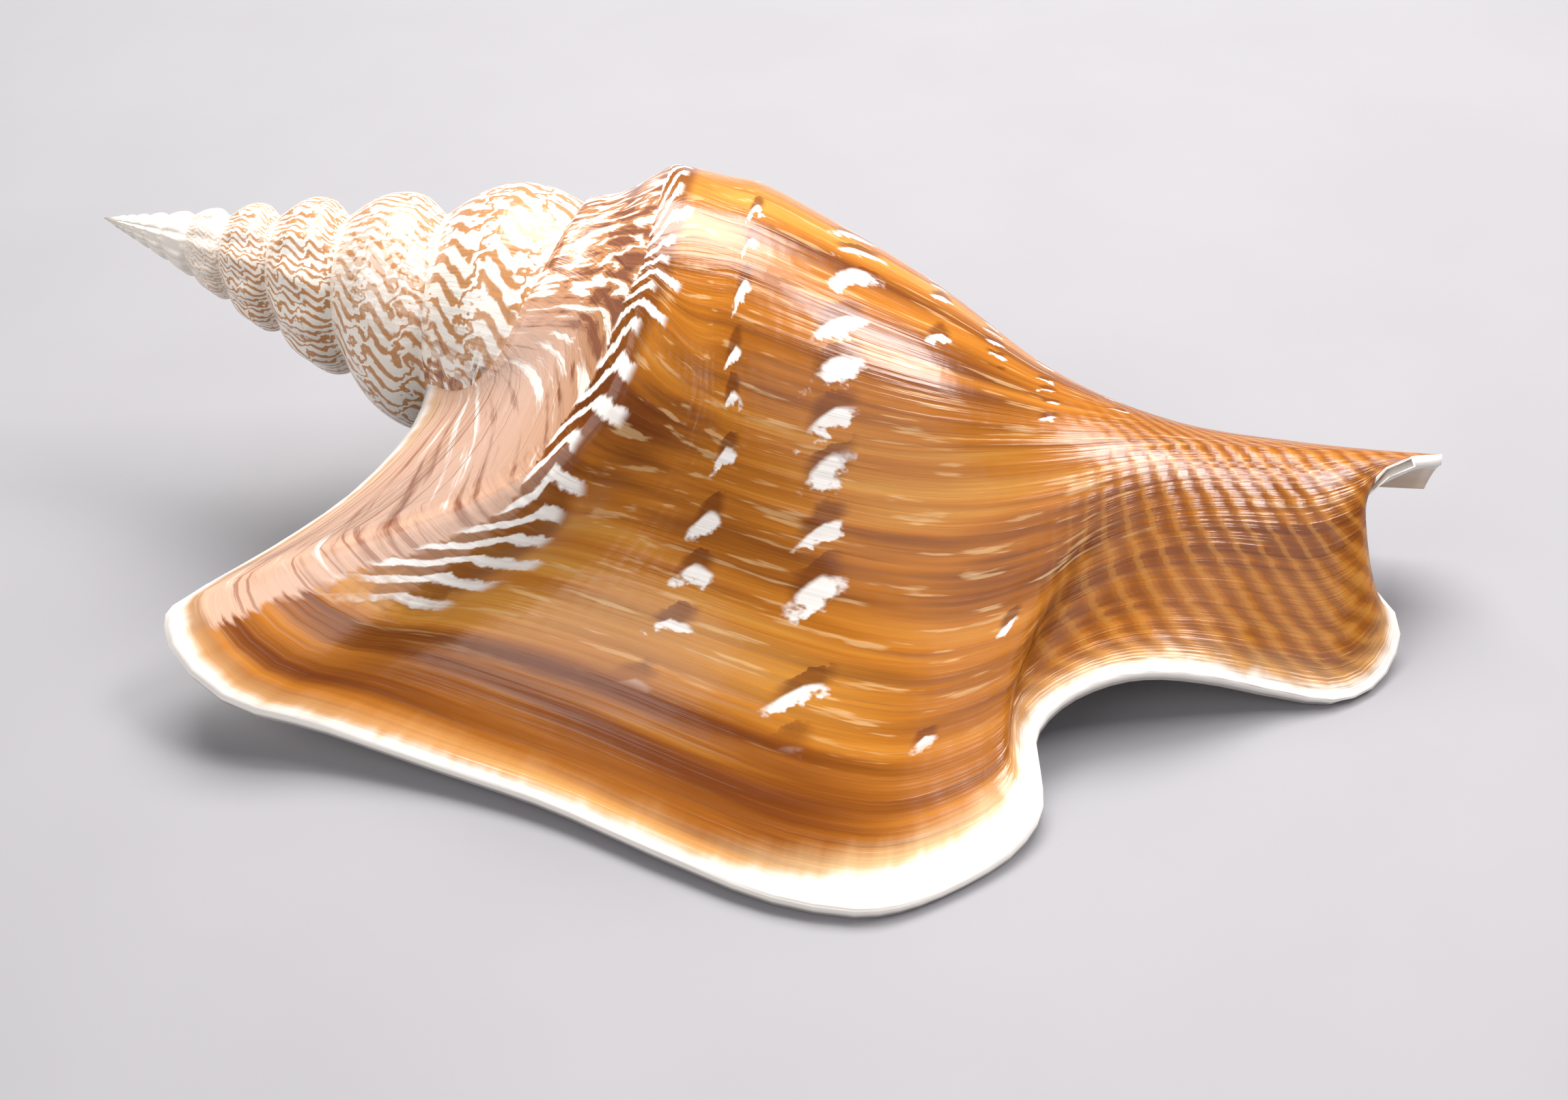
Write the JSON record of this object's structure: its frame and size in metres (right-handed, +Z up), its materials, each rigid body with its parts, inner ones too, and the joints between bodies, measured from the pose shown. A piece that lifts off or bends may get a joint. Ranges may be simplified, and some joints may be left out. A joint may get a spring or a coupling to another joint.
{
  "type": "conch shell",
  "caption": "Winged sea shell with a tall pointed spire, a broad flared lip with a finger, and an open canal at the front; lies on its opening.",
  "frame": {"origin": "centre of the bounding box, on the surface the shell lies on", "axes": "+X from the apex of the spire to the end of the canal, +Z up, -Y towards the flared lip"},
  "size_m": [0.1242, 0.0636, 0.035],
  "materials": {
    "shell": "gloss"
  },
  "bodies": {
    "root": {"shell": "shell"}
  },
  "joints": []
}
